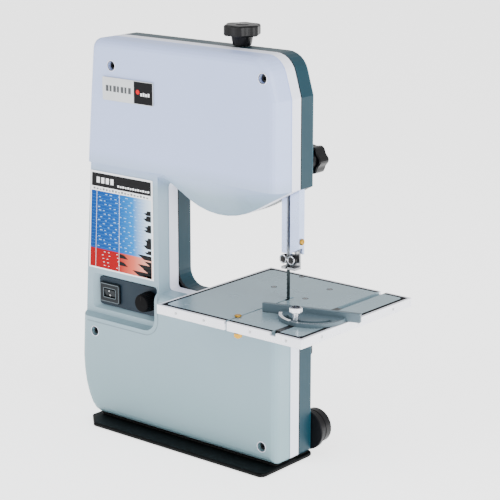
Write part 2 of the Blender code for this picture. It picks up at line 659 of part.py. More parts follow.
cut(trunnion, [("Y", sweep, 55, 72)])
stem = [(0, 56.2), (4, 56.2), (4, 70), (8, 70), (9, 76), (0, 76)]
knob("tilt_lock_knob", look("lock_black", BLACK, 0.45, 0.0), "Y", bx, bz - TILT_BOLT, (75, 89), 16,
     2.2, stem, (bx, 72, bz - TILT_BOLT))

# Mitre gauge
px, py = MITRE_PIVOT
pivot = (px, py, 231)
bar = block("mitre_bar", look("mitre_bar_steel", (0.13, 0.15, 0.17), 0.4, 0.9), "Z",
            box_outline(SLOT_X - 4.7, -92, SLOT_X + 4.7, 41, 0.6), z1 - 4.1, z1 - 0.1, (px, py, z1))
spin = Matrix.Rotation(math.radians(MITRE_TURN), 4, "Z")
swing = Matrix.Translation(Vector((px, py, 0))) @ spin @ Matrix.Translation(Vector((-px, -py, 0)))


def swung(name, mat, shapes, bevel=0.0):
    """Piece of the mitre head, drawn square and turned about its pivot."""
    bm = bmesh.new()
    axis, outline, low, high = shapes[0]
    prism(bm, outline, axis, low, high)
    bmesh.ops.transform(bm, matrix=swing, verts=bm.verts[:])
    ob = part(name, bm, mat, pivot)
    for index, (axis, outline, low, high) in enumerate(shapes[1:]):
        bm = bmesh.new()
        prism(bm, outline, axis, low, high)
        bmesh.ops.transform(bm, matrix=swing, verts=bm.verts[:])
        combine(ob, tool(f"{name}_cut{index}", bm))
    if bevel:
        soften(ob, bevel)
    return ob


slate_mitre = look("mitre_slate", (0.045, 0.065, 0.08), 0.45, 0.3)
half = arc(px, py - 0.3, 46, 180, 360, 32)
slot = arc(px, py, 33.4, 210, 330, 14) + arc(px, py, 40.2, 330, 210, 14)
head = swung("mitre_head", slate_mitre, [("Z", half, 231.1, 236.1), ("Z", slot, 229, 240)])
fence = swung("mitre_fence", slate_mitre, [("Z", box_outline(px - 73, py, px + 66, py + 6), 231.1, 243.5)], 0.5)
scale = arc(px, py, 41.4, 192, 246, 10) + arc(px, py, 45.5, 246, 192, 10)
swung("mitre_scale", look("scale_white", WHITE, 0.5, 0.0), [("Z", scale, 236.3, 236.9)])
kx, ky = px, py - 36.8
profile = [(0, z1 + 0.3), (2.9, z1 + 0.3), (2.9, 236.4), (4.3, 236.4), (4.3, 246)]
profile += [(8.2, 248), (8.2, 253.6), (7.4, 254.4), (0, 254.4)]
rod("mitre_knob", look("knob_nickel", BRIGHT, 0.2, 1.0), "Z", kx, ky, profile, (kx, ky, 240), 28)

# Dust port and cable gland
profile = [(0, SHELL_BACK + GAP), (28.2, SHELL_BACK + GAP), (29, 56.4), (29, 61), (28, 62), (26, 62)]
profile += [(25, 64), (25, 82), (24, 83), (22, 83), (22, 58), (0, 58)]
port = rod("dust_port", look("port_black", BLACK, 0.5, 0.0), "Y", PORT[0], PORT[1], profile, count=48)
cut(port, [("Y", box_outline(154.5, 18, 167.5, 54), 50, 60)])
profile = [(0, SHELL_BACK + GAP), (9, SHELL_BACK + GAP), (9, 60), (6.5, 61), (6.5, 68), (3.4, 69), (3.4, 62), (0, 62)]
rod("cable_gland", look("gland_black", BLACK, 0.5, 0.0), "Y", -120, 34, profile, count=24)
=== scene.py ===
"""Looks for the bench band saw: materials, small detail, soft studio and camera.

Shapes are given in millimetres and stored in metres. +X runs from the column to the blade,
-Y is the cover side and +Z is up.
"""

import math

import bmesh
import bpy
from mathutils import Matrix
from mathutils import Vector


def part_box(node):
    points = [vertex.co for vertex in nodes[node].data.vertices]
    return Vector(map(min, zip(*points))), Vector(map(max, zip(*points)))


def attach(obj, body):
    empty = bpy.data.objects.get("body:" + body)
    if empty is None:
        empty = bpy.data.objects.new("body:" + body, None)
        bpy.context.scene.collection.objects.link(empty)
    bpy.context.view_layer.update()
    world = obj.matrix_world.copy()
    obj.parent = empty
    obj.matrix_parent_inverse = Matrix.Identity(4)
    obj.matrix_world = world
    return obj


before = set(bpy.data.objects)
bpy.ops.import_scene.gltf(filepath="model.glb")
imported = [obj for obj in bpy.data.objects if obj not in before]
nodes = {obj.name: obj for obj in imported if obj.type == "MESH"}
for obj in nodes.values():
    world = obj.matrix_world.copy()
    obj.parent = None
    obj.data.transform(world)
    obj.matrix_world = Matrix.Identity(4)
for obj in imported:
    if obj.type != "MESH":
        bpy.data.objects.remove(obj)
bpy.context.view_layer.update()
MM = 0.001


# Node helpers
class Graph:
    """Short names for building one Principled material."""

    def __init__(self, name):
        self.mat = bpy.data.materials.new(name)
        self.mat.use_nodes = True
        self.tree = self.mat.node_tree
        self.shader = self.tree.nodes["Principled BSDF"]
        self.coord = self.tree.nodes.new("ShaderNodeTexCoord").outputs["Object"]

    def link(self, source, target):
        """Join two sockets."""
        self.tree.links.new(source, target)

    def stretched(self, scale):
        """Object coordinates stretched."""
        node = self.tree.nodes.new("ShaderNodeMapping")
        node.inputs["Scale"].default_value = scale
        self.link(self.coord, node.inputs["Vector"])
        return node.outputs["Vector"]

    def noise(self, scale, detail=3.0, rough=0.55, vector=None):
        """Noise value."""
        node = self.tree.nodes.new("ShaderNodeTexNoise")
        node.inputs["Scale"].default_value = scale
        node.inputs["Detail"].default_value = detail
        node.inputs["Roughness"].default_value = rough
        self.link(vector or self.coord, node.inputs["Vector"])
        return node.outputs["Fac"]

    def along(self, axis, low, high):
        """Place along an object axis: 0 at low and 1 at high, both in metres."""
        split = self.tree.nodes.new("ShaderNodeSeparateXYZ")
        self.link(self.coord, split.inputs["Vector"])
        node = self.tree.nodes.new("ShaderNodeMapRange")
        node.inputs["From Min"].default_value = low
        node.inputs["From Max"].default_value = high
        self.link(split.outputs[axis], node.inputs["Value"])
        return node.outputs["Result"]

    def ramp(self, value, stops):
        """Colour from a value through (position, colour) stops."""
        node = self.tree.nodes.new("ShaderNodeValToRGB")
        bar = node.color_ramp
        while len(bar.elements) < len(stops):
            bar.elements.new(0.5)
        for element, (position, colour) in zip(bar.elements, stops):
            element.position = position
            element.color = (*colour, 1.0)
        self.link(value, node.inputs["Fac"])
        return node.outputs["Color"]

    def mottled(self, colour, scale, darkest):
        """Colour darkened in soft patches."""
        mix = self.tree.nodes.new("ShaderNodeMixRGB")
        mix.blend_type = "MULTIPLY"
        mix.inputs["Fac"].default_value = 1.0
        self.link(colour, mix.inputs["Color1"])
        patches = self.ramp(self.noise(scale, 4.0), [(0.3, darkest), (0.7, (1, 1, 1))])
        self.link(patches, mix.inputs["Color2"])
        return mix.outputs["Color"]

    def spread(self, value, low, high):
        """Value from 0.3..0.7 stretched to low..high."""
        node = self.tree.nodes.new("ShaderNodeMapRange")
        node.inputs["From Min"].default_value = 0.3
        node.inputs["From Max"].default_value = 0.7
        node.inputs["To Min"].default_value = low
        node.inputs["To Max"].default_value = high
        self.link(value, node.inputs["Value"])
        return node.outputs["Result"]

    def bump(self, height, strength, distance):
        """Bump on the shader's normal."""
        node = self.tree.nodes.new("ShaderNodeBump")
        node.inputs["Strength"].default_value = strength
        node.inputs["Distance"].default_value = distance
        self.link(height, node.inputs["Height"])
        self.link(node.outputs["Normal"], self.shader.inputs["Normal"])


def scaled(colour, factor):
    """Lighter or darker colour."""
    return tuple(min(1.0, c * factor) for c in colour)


def surface(name, colour, rough, metal=0.0, vary=0.06, patch=18.0, grain=900.0, bump=0.06,
            depth=0.0003, stretch=None, rough_vary=0.05, spec=0.5):
    """Painted, moulded or metal surface with mottling, uneven gloss and grain."""
    g = Graph(name)
    tones = [(0.3, scaled(colour, 1 - vary)), (0.7, scaled(colour, 1 + vary))]
    g.link(g.ramp(g.noise(patch, 4.0), tones), g.shader.inputs["Base Color"])
    g.link(g.spread(g.noise(patch * 2.3, 5.0), rough - rough_vary, rough + rough_vary),
           g.shader.inputs["Roughness"])
    vector = g.stretched(stretch) if stretch else None
    g.bump(g.noise(grain, 2.0, 0.5, vector), bump, depth)
    g.shader.inputs["Metallic"].default_value = metal
    g.shader.inputs["Specular IOR Level"].default_value = spec
    return g.mat


PALE = (0.46, 0.56, 0.88)
# Shaded tones of the cover enamel: painted shade for its lower parts.
PALE_HALF_SHADE = (0.29, 0.40, 0.49)
PALE_SHADE = (0.20, 0.32, 0.36)
# Painted highlight colour for the cover's rear rim band and the screw rims.
RIM_HIGHLIGHT = (0.84, 0.86, 0.98)
SLATE = (0.006, 0.035, 0.052)
# Painted shade along the housing's front joint.
JOINT_SHADE = (0.002, 0.004, 0.006)


def cover_material():
    """Blue grey enamel, with painted shade making it greener and darker towards the foot and a
    bright rear rim that is a painted highlight.
    """
    g = Graph("cover_enamel")
    # Painted shade: greener and darker below the crease and towards the foot.
    base = g.ramp(g.along("Z", 0.05, 0.50), [(0.0, PALE_SHADE), (0.70, PALE_HALF_SHADE), (0.80, PALE)])
    # Painted highlight: a bright band along the cover's rear rim.
    rim = g.tree.nodes.new("ShaderNodeMixRGB")
    rim.inputs["Color2"].default_value = (*RIM_HIGHLIGHT, 1.0)
    g.link(g.along("Y", 0.0071, 0.0074), rim.inputs["Fac"])
    g.link(g.mottled(base, 9.0, (0.965, 0.97, 0.975)), rim.inputs["Color1"])
    g.link(rim.outputs["Color"], g.shader.inputs["Base Color"])
    g.link(g.spread(g.noise(30.0, 5.0), 0.36, 0.46), g.shader.inputs["Roughness"])
    g.bump(g.noise(520.0, 2.0), 0.10, 0.0003)
    g.shader.inputs["Coat Weight"].default_value = 0.15
    g.shader.inputs["Coat Roughness"].default_value = 0.3
    return g.mat


def shell_material():
    """Slate enamel with painted shade along the joint at the front edge and a lighter rear edge
    that is a painted highlight.
    """
    g = Graph("shell_enamel")
    # Painted shade at the front joint and a painted highlight on the rear edge, both set by the
    # ramp along Y.
    light = scaled(SLATE, 2.2)
    stops = [(0.0, JOINT_SHADE), (0.055, JOINT_SHADE), (0.075, SLATE), (0.84, SLATE),
             (0.90, light), (0.955, light), (0.975, SLATE)]
    base = g.ramp(g.along("Y", 0.026, 0.056), stops)
    g.link(g.mottled(base, 10.0, (0.92, 0.92, 0.92)), g.shader.inputs["Base Color"])
    g.link(g.spread(g.noise(30.0, 5.0), 0.34, 0.44), g.shader.inputs["Roughness"])
    g.shader.inputs["Specular IOR Level"].default_value = 0.25
    g.bump(g.noise(520.0, 2.0), 0.1, 0.0003)
    return g.mat


def blade_material():
    """Blade steel: bright above the guides as a painted reflection, dark where it cuts."""
    g = Graph("blade_steel")
    tones = [(0.0, (0.02, 0.03, 0.033)), (1.0, (0.42, 0.45, 0.48))]
    g.link(g.ramp(g.along("Z", 0.276, 0.290), tones), g.shader.inputs["Base Color"])
    g.link(g.spread(g.noise(60.0), 0.28, 0.4), g.shader.inputs["Roughness"])
    g.bump(g.noise(900.0, 2.0, 0.5, g.stretched((1, 1, 0.05))), 0.08, 0.0002)
    g.shader.inputs["Metallic"].default_value = 0.85
    return g.mat


enamel = cover_material()
shell_paint = shell_material()
blade_metal = blade_material()
black_paint = surface("base_paint", (0.0015, 0.0018, 0.002), 0.42, vary=0.2, grain=700,
                      bump=0.12, spec=0.08)
knob_black = surface("knob_black", (0.002, 0.002, 0.003), 0.3, vary=0.15, bump=0.05, spec=0.25)
moulded = surface("moulded_black", (0.003, 0.003, 0.004), 0.36, vary=0.15, grain=1500,
                  bump=0.2, spec=0.25)
gloss_black = surface("gloss_black", (0.004, 0.004, 0.005), 0.14, vary=0.1, grain=300, bump=0.02)
bezel_black = surface("bezel_black", (0.004, 0.007, 0.010), 0.3, vary=0.1, grain=300,
                      bump=0.02, spec=0.15)
dial_black = surface("dial_black", (0.001, 0.001, 0.0015), 0.5, vary=0.15, grain=1500,
                     bump=0.2, spec=0.06)
rubber = surface("rubber", (0.01, 0.01, 0.01), 0.8, vary=0.2, grain=1800, bump=0.4, spec=0.1)
panel_grey = surface("panel_grey", (0.008, 0.019, 0.031), 0.5, vary=0.08, grain=1400,
                     bump=0.25, spec=0.2)
table_grey = surface("table_ground", (0.27, 0.37, 0.42), 0.25, 0.3, vary=0.05, patch=7,
                     grain=260, bump=0.10, depth=0.0002, stretch=(1, 0.02, 1))
rail_metal = surface("rail_bright", (0.90, 0.91, 0.98), 0.28, 0.3, vary=0.03, patch=20,
                     grain=500, bump=0.05, stretch=(1, 1, 0.05))
nickel = surface("nickel", (0.72, 0.73, 0.78), 0.16, 1.0, vary=0.05, patch=25, grain=700,
                 bump=0.04, stretch=(1, 1, 0.04), rough_vary=0.06)
post_metal = surface("post_nickel", (0.50, 0.60, 0.88), 0.3, 0.5, patch=25, grain=700,
                     bump=0.04, stretch=(1, 1, 0.04), rough_vary=0.06)
steel = surface("ground_steel", (0.50, 0.51, 0.53), 0.32, 1.0, vary=0.08, bump=0.1)
zinc = surface("zinc_plate", (0.45, 0.46, 0.48), 0.38, 1.0, vary=0.15, patch=40, bump=0.08)
dark_iron = surface("dark_iron", (0.02, 0.022, 0.025), 0.5, 0.3, vary=0.2, grain=700,
                    bump=0.3, spec=0.3)
black_oxide = surface("black_oxide", (0.006, 0.006, 0.007), 0.3, 0.3, vary=0.2, bump=0.08, spec=0.4)
brass = surface("brass", (0.52, 0.28, 0.03), 0.26, 1.0, vary=0.1, patch=60, bump=0.08)
mitre_paint = surface("mitre_enamel", (0.075, 0.115, 0.14), 0.4, 0.1, vary=0.1, bump=0.15)
silver = surface("badge_silver", (0.60, 0.62, 0.64), 0.35, 0.4, vary=0.05, patch=30, grain=600,
                 bump=0.05, stretch=(0.05, 1, 1))
alloy = surface("cast_alloy", (0.5, 0.51, 0.53), 0.42, 1.0, vary=0.08, grain=600, bump=0.2)
white_ink = surface("white_ink", (0.92, 0.93, 0.95), 0.5, vary=0.02, patch=60, bump=0.04, spec=0.3)
# Screw rims coloured as painted highlights.
rim_highlight_paint = surface("rim_highlight_paint", RIM_HIGHLIGHT, 0.35, vary=0.02, patch=60, bump=0.04)
line_shade = surface("line_shade", (0.16, 0.22, 0.26), 0.4, vary=0.03, patch=60, bump=0.04)
# Black print, also used as painted shade in the table screws' cross recesses.
black_ink_and_shade = surface("black_ink_and_shade", (0.003, 0.003, 0.004), 0.45, vary=0.1, patch=60, bump=0.04,
                    spec=0.12)
red_ink = surface("red_ink", (0.62, 0.004, 0.008), 0.4, vary=0.05, patch=60, bump=0.04, spec=0.1)
# Dark strips and rings of painted shade for gaps, recesses and slots.
painted_shade = surface("painted_shade", (0.004, 0.004, 0.005), 0.7, vary=0.1, bump=0.05, spec=0.08)
badge_bar = surface("badge_bar", (0.05, 0.055, 0.06), 0.4, 0.2)
dash_ink = surface("dash_ink", (0.30, 0.55, 0.85), 0.5, spec=0.1)
rule_ink = surface("rule_ink", (0.05, 0.25, 0.62), 0.5, spec=0.1)
grey_ink = surface("grey_ink", (0.16, 0.18, 0.20), 0.5)
bezel_sheen = surface("bezel_sheen", (0.10, 0.13, 0.15), 0.25, 0.2)
grey_mark = surface("grey_mark", (0.30, 0.33, 0.36), 0.5)
floor_white = surface("floor_white", (0.92, 0.92, 0.92), 0.8, vary=0.005, patch=1.0, grain=50,
                      bump=0.01, spec=0.1)

looks = {
    "front_cover": enamel, "rear_housing": shell_paint, "base_plate": black_paint,
    "base_gasket": rubber, "name_plate": silver, "speed_chart": white_ink,
    "switch_panel": panel_grey, "switch_bezel": bezel_black, "switch_rocker": bezel_black,
    "speed_knob": dial_black, "motor_body": zinc, "motor_end_cap": moulded,
    "motor_bracket": zinc, "motor_shaft": steel, "motor_pulley": alloy, "drive_pulley": moulded,
    "drive_belt": rubber, "lower_axle": steel, "upper_axle": steel, "lower_wheel": alloy,
    "upper_wheel": alloy, "lower_tyre": rubber, "upper_tyre": rubber, "lower_bearing": steel,
    "upper_bearing": steel, "blade": blade_metal, "tension_bracket": zinc,
    "tension_carriage": dark_iron, "tension_screw": zinc, "tension_knob": knob_black,
    "guide_post": post_metal, "guard_screw": brass, "guide_bracket": zinc,
    "guide_bearing_left": black_oxide, "guide_bearing_right": black_oxide,
    "thrust_bearing": steel, "guide_clamp_block": dark_iron, "post_clamp_knob": knob_black,
    "lower_guide_block": zinc, "trunnion_bracket": dark_iron, "table_trunnion": dark_iron,
    "tilt_lock_knob": moulded, "table_plate": table_grey, "slot_pin": brass,
    "mitre_bar": black_oxide, "mitre_head": mitre_paint, "mitre_fence": mitre_paint,
    "mitre_scale": white_ink, "mitre_knob": nickel, "dust_port": moulded, "cable_gland": moulded,
}
for name, node in nodes.items():
    mat = looks.get(name)
    if name.startswith("rail_"):
        mat = rail_metal
    if name.startswith("cover_screw"):
        mat = black_oxide
    for index in range(len(node.data.materials)):
        node.data.materials[index] = mat

# Mesh helpers, in millimetres
AXLE = 0.01    # radius that closes a turned profile on its axis
SHARP = math.radians(35)


def box(name):
    """Low and high corner of a CAD node."""
    return [Vector(corner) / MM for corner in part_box(name)]


def store(name, bm, mat, body, smooth=True):
    """Store a bmesh as a piece that rides on a body."""
    bmesh.ops.recalc_face_normals(bm, faces=bm.faces[:])
    bmesh.ops.scale(bm, verts=bm.verts[:], vec=(MM, MM, MM))
    mesh = bpy.data.meshes.new(name)
    bm.to_mesh(mesh)
    bm.free()
    ob = bpy.data.objects.new(name, mesh)
    bpy.context.scene.collection.objects.link(ob)
    mesh.materials.append(mat)
    if smooth:
        mesh.shade_smooth()
        mesh.set_sharp_from_angle(angle=SHARP)
    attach(ob, body)


def point(axis, a, b, h):
    """Point from outline coordinates and a height along an axis."""
    if axis == "X":
        return (h, a, b)
    if axis == "Y":
        return (a, h, b)
    return (a, b, h)


def slab(bm, axis, outline, low, high):
    """Extruded outline."""
    verts = [bm.verts.new(point(axis, a, b, low)) for a, b in outline]
    face = bm.faces.new(verts)
    made = bmesh.ops.extrude_face_region(bm, geom=[face], use_keep_orig=True)
    lifted = [v for v in made["geom"] if isinstance(v, bmesh.types.BMVert)]
    bmesh.ops.translate(bm, verts=lifted, vec=point(axis, 0, 0, high - low))


def spun(bm, axis, a, b, profile, count):
    """Closed ring from a (radius, height) profile."""
    verts = [bm.verts.new(point(axis, a + r, b, h)) for r, h in profile]
    edges = [bm.edges.new(pair) for pair in zip(verts, verts[1:])]
    edges.append(bm.edges.new((verts[-1], verts[0])))
    bmesh.ops.spin(bm, geom=verts + edges, cent=point(axis, a, b, 0), axis=point(axis, 0, 0, 1),
                   angle=math.tau, steps=count, use_merge=True)
    bmesh.ops.remove_doubles(bm, verts=bm.verts[:], dist=0.002)


def collar(bm, axis, a, b, inner, outer, low, high, count):
    """Flat ring."""
    spun(bm, axis, a, b, [(inner, low), (outer, low), (outer, high), (inner, high)], count)


def lip(bm, axis, a, b, inner, outer, low, high, count):
    """Rounded ring."""
    half = (low + high) / 2
    profile = [(inner, low), (outer, low), (outer - 0.15, half), ((inner + outer) / 2, high),
               (inner, half)]
    spun(bm, axis, a, b, profile, count)


def stud(bm, axis, a, b, radii, heights, count):
    """Round head: wall and crown radius, then foot, shoulder, crown and centre height."""
    wall, crown = radii
    foot, shoulder, edge, peak = heights
    profile = [(AXLE, foot), (wall, foot), (wall, shoulder), (crown, edge), (AXLE, peak)]
    spun(bm, axis, a, b, profile, count)


def wedge(bm, first, second):
    """Prism between two triangles."""
    a, b, c, d, e, f = (bm.verts.new(place) for place in (*first, *second))
    for face in ((a, b, c), (d, f, e), (a, d, e, b), (b, e, f, c), (a, c, f, d)):
        bm.faces.new(face)


def rect(a0, b0, a1, b1):
    """Rectangle outline."""
    return [(a0, b0), (a1, b0), (a1, b1), (a0, b1)]


def disc(a, b, radius, count):
    """Round outline."""
    turns = [math.tau * k / count for k in range(count)]
    return [(a + radius * math.cos(t), b + radius * math.sin(t)) for t in turns]


# Cover: a raised rim around each screw, coloured as a painted highlight, with a dark ring of
# painted shade inside it
FRONT = -27.0
for index in range(1, 5):
    low, high = box(f"cover_screw_{index}")
    x = (low.x + high.x) / 2
    z = (low.z + high.z) / 2
    bm = bmesh.new()
    lip(bm, "Y", x, z, 7.0, 8.1, FRONT + 0.2, FRONT - 0.6, 32)
    store(f"screw_rim_{index}", bm, rim_highlight_paint, "frame")
    bm = bmesh.new()
    collar(bm, "Y", x, z, 6.25, 7.1, FRONT + 0.3, FRONT - 0.12, 28)
    store(f"screw_shade_{index}", bm, painted_shade, "frame")


def recess_edge(inset):
    """Foot and rounded corner of the column recess."""
    radius = 27.0 - inset
    edge = [(-186.0, 149.0 + inset)]
    for k in range(9):
        t = math.radians(-90 + 90 * k / 8)
        edge.append((-70.5 + radius * math.cos(t), 176 + radius * math.sin(t)))
    edge.append((-43.5 - inset, 226.0))
    return edge


# Cover: fine line that follows the foot of the column recess
bm = bmesh.new()
slab(bm, "Y", recess_edge(0.0) + recess_edge(1.1)[::-1], FRONT + 0.3, FRONT - 0.3)
store("recess_line", bm, line_shade, "frame")

# Badge: silver field with plain bars, black field with a red dot and plain marks
low, high = box("name_plate")
bm = bmesh.new()
slab(bm, "Y", rect(low.x + 61, low.z + 1.0, high.x - 0.8, high.z - 1.0),
     low.y + 0.3, low.y - 0.35)
store("badge_black_field", bm, black_ink_and_shade, "frame")
bm = bmesh.new()
for k in range(7):
    left = low.x + 7 + 7.2 * k
    slab(bm, "Y", rect(left, low.z + 13, left + 4.6 - 1.2 * (k % 2), low.z + 21.5),
         low.y + 0.2, low.y - 0.4)
store("badge_bars", bm, badge_bar, "frame")
bm = bmesh.new()
slab(bm, "Y", disc(low.x + 68.5, low.z + 17.5, 3.4, 20), low.y - 0.3, low.y - 0.6)
store("badge_dot", bm, red_ink, "frame")
bm = bmesh.new()
for k in range(4):
    left = low.x + 73.5 + 4.6 * k
    slab(bm, "Y", rect(left, low.z + 12.5, left + 3.2, low.z + 16.5 + 0.8 * (k % 2)),
         low.y - 0.3, low.y - 0.6)
store("badge_marks", bm, white_ink, "frame")

# Speed chart: bands of colour with dash rows and saw-tooth blocks, no lettering
chart_low, chart_high = box("speed_chart")
SLANT = 9.0           # how far the chart's left side leans
LEFT, RIGHT = 0.02, 0.975
BANDS = 0.2, 0.79, 0.985    # top of the blue band, its foot, foot of the red band
LINE_STEP = 0.0335
LINES = 17


def chart(s, t):
    """Chart place (across, down), both 0 to 1, as X and Z."""
    left = chart_low.x + SLANT * (1 - t)
    return (left + (chart_high.x - left) * s, chart_high.z - (chart_high.z - chart_low.z) * t)


def print_outline(bm, places, rise):
    """Printed shape on the chart."""
    slab(bm, "Y", [chart(s, t) for s, t in places], chart_low.y + 0.1, chart_low.y - rise)


def print_field(bm, s0, t0, s1, t1, rise=0.1):
    """Printed rectangle on the chart."""
    print_outline(bm, [(s0, t1), (s1, t1), (s1, t0), (s0, t0)], rise)


def fade(name, stops):
    """Ink whose colour runs across the chart."""
    g = Graph(name)
    across = g.along("X", chart_low.x * MM, chart_high.x * MM)
    g.link(g.ramp(across, stops), g.shader.inputs["Base Color"])
    g.link(g.spread(g.noise(80.0), 0.42, 0.5), g.shader.inputs["Roughness"])
    g.shader.inputs["Specular IOR Level"].default_value = 0.08
    g.bump(g.noise(900.0), 0.04, 0.0002)
    return g.mat


bm = bmesh.new()
print_field(bm, LEFT, 0.02, RIGHT, 0.155)
store("chart_header", bm, black_ink_and_shade, "frame")
bm = bmesh.new()
print_field(bm, LEFT, BANDS[0], RIGHT, BANDS[1])
blue = [(0.0, (0.0, 0.045, 0.23)), (0.45, (0.0, 0.075, 0.33)), (0.70, (0.0, 0.20, 0.58)),
        (0.97, (0.70, 0.84, 0.95))]
store("chart_blue", bm, fade("chart_blue", blue), "frame")
bm = bmesh.new()
print_field(bm, LEFT, BANDS[1], RIGHT, BANDS[2])
red = [(0.0, (0.30, 0.0, 0.003)), (0.45, (0.33, 0.0, 0.004)), (0.7, (0.70, 0.13, 0.08)),
       (1.0, (0.86, 0.45, 0.34))]
store("chart_red", bm, fade("chart_red", red), "frame")
bm = bmesh.new()
for row in range(LINES):
    t = 0.222 + LINE_STEP * row
    for k in range(9):
        s = 0.13 + 0.08 * k + 0.012 * ((row * 5 + k * 3) % 4)
        if (row * 7 + k * 11) % 3 == 0 or s > 0.8:
            continue
        print_field(bm, s, t, s + 0.024 + 0.008 * ((row + k) % 3), t + 0.007, 0.2)
store("chart_blue_dashes", bm, dash_ink, "frame")
bm = bmesh.new()
for row in range(5):
    t = 0.812 + 0.035 * row
    for k in range(5):
        s = 0.13 + 0.075 * k + 0.01 * ((row * 5 + k * 3) % 4)
        if (row * 3 + k * 2) % 3:
            print_field(bm, s, t, s + 0.022, t + 0.005, 0.2)
for k in range(13):
    s = 0.44 + 0.04 * k
    print_field(bm, s, 0.11 + 0.004 * (k % 2), s + 0.028, 0.13, 0.2)
for s in (0.105, 0.47):
    print_field(bm, s, BANDS[0], s + 0.004, BANDS[2], 0.18)
for k in range(4):
    print_field(bm, 0.10 + 0.075 * k, 0.06, 0.15 + 0.075 * k, 0.118, 0.2)
store("chart_dashes", bm, white_ink, "frame")
bm = bmesh.new()
for row in range(LINES):
    t = 0.238 + LINE_STEP * row
    print_field(bm, 0.03, t, 0.87 - 0.01 * (row % 3), t + 0.0016, 0.16)
store("chart_rules", bm, rule_ink, "frame")
bm = bmesh.new()
for k in range(18):
    s = 0.05 + 0.05 * k
    print_field(bm, s, 0.166 + 0.005 * (k % 3), s + 0.03, 0.188, 0.2)
store("chart_captions", bm, grey_ink, "frame")

TEETH_RIGHT = 0.97
upper_teeth = [(0.305, 0.05, 0.86), (0.355, 0.06, 0.85), (0.445, 0.045, 0.87),
               (0.475, 0.05, 0.86), (0.575, 0.05, 0.87), (0.615, 0.075, 0.85),
               (0.70, 0.045, 0.87)]
lower_teeth = [(0.755, 0.76), (0.815, 0.86), (0.855, 0.76), (0.895, 0.84), (0.93, 0.68),
               (0.955, 0.82)]
bm = bmesh.new()
for t, height, start in upper_teeth:
    foot = t + height
    print_outline(bm, [(TEETH_RIGHT, foot), (0.90, foot), (start, t + height * 0.6),
                       (start + 0.045, t + height * 0.5), (start + 0.05, t + 0.006),
                       (TEETH_RIGHT, t + 0.004)], 0.25)
for t, start in lower_teeth:
    foot = min(t + 0.05, BANDS[2])
    print_outline(bm, [(TEETH_RIGHT, foot), (start + 0.10, foot), (start, t + 0.006),
                       (TEETH_RIGHT, t + 0.004)], 0.25)
for t in (0.80, 0.875):
    print_outline(bm, [(0.61, t + 0.042), (0.475, t + 0.042), (0.475, t), (0.55, t + 0.008)],
                  0.25)
store("chart_teeth", bm, black_ink_and_shade, "frame", smooth=False)

# Switch: two square outlines on the bezel as painted highlights, plain on and off marks on the
# rocker
low, high = box("switch_bezel")
middle = (low.x + high.x) / 2
LINE = 0.8
bm = bmesh.new()
for inset, rise in ((1.4, 0.35), (7.4, 0.3)):
    a0, b0, a1, b1 = low.x + inset, low.z + inset, high.x - inset, high.z - inset
    for side in (rect(a0, b0, a1, b0 + LINE), rect(a0, b1 - LINE, a1, b1),
                 rect(a0, b0, a0 + LINE, b1), rect(a1 - LINE, b0, a1, b1)):
        slab(bm, "Y", side, low.y + 0.2, low.y - rise)
store("bezel_edges", bm, bezel_sheen, "frame")
bm = bmesh.new()
slab(bm, "Y", rect(middle - 0.35, 196.0, middle + 0.35, 198.4), -15.3, -15.55)
collar(bm, "Y", middle, 190.8, 0.9, 1.3, -13.3, -13.72, 20)
store("rocker_marks", bm, white_ink, "power_rocker")

# Speed dial: tapered grip ribs and a pointer line
low, high = box("speed_knob")
dial_x = (low.x + high.x) / 2
dial_z = (low.z + high.z) / 2
RIBS = 28
bm = bmesh.new()
for k in range(RIBS):
    t = math.tau * k / RIBS
    middle = Vector((dial_x + 13.1 * math.cos(t), 0, dial_z + 13.1 * math.sin(t)))
    out = Vector((math.cos(t), 0, math.sin(t)))
    flat = Vector((-math.sin(t), 0, math.cos(t)))
    ends = []
    for y, reach in ((-31.6, -0.75), (-16.0, 0.75)):
        ends.append([middle + out * (reach + push) + flat * side + Vector((0, y, 0))
                     for side, push in ((-0.75, 0.0), (0.0, 0.75), (0.75, 0.0))])
    wedge(bm, *ends)
store("dial_ribs", bm, dial_black, "speed_control")
bm = bmesh.new()
slab(bm, "Y", rect(dial_x - 0.5, dial_z + 4, dial_x + 0.5, dial_z + 10.8), -32.8, -33.25)
store("dial_pointer", bm, black_ink_and_shade, "speed_control")

# Blade: set teeth along the front edge where it can be seen
BLADE = 147.6
TOOTH_FOOT, TOOTH_TIP = 28.3, 26.7
TOOTH_PITCH = 3.2
TEETH_FROM, TEETH_TO = 214, 352
bm = bmesh.new()
for k in range(int((TEETH_TO - TEETH_FROM) / TOOTH_PITCH)):
    z = TEETH_FROM + TOOTH_PITCH * k
    lean = 0.35 if k % 2 else -0.35
    sides = [[(BLADE + edge, TOOTH_FOOT, z), (BLADE + edge, TOOTH_FOOT, z + TOOTH_PITCH * 0.9),
              (BLADE + lean + tip, TOOTH_TIP, z)] for edge, tip in ((-0.24, -0.1), (0.24, 0.1))]
    wedge(bm, *sides)
store("blade_teeth", bm, blade_metal, "frame", smooth=False)

# Guides: bright rings around the bearings, bracket screws and the guard screw's slot
for side in ("left", "right"):
    low, high = box(f"guide_bearing_{side}")
    radius = (high.z - low.z) / 2
    bm = bmesh.new()
    lip(bm, "Y", (low.x + high.x) / 2, (low.z + high.z) / 2, radius - 1.8, radius - 0.05,
        27.3, 26.6, 24)
    store(f"guide_ring_{side}", bm, nickel, f"guide_{side}")
bm = bmesh.new()
for z, foot in ((281.5, 36.4), (297.5, 36.0)):
    stud(bm, "Y", 159.6, z, (2.4, 2.1), (foot, 36.9, 37.6, 37.6), 20)
store("bracket_screws", bm, steel, "post")
low, high = box("guard_screw")
z = (low.z + high.z) / 2
bm = bmesh.new()
# The guard screw's slot is a dark strip of painted shade.
slab(bm, "X", rect(35.1, z - 2.8, 35.9, z + 2.8), 168.9, 169.15)
store("guard_screw_slot", bm, painted_shade, "post")
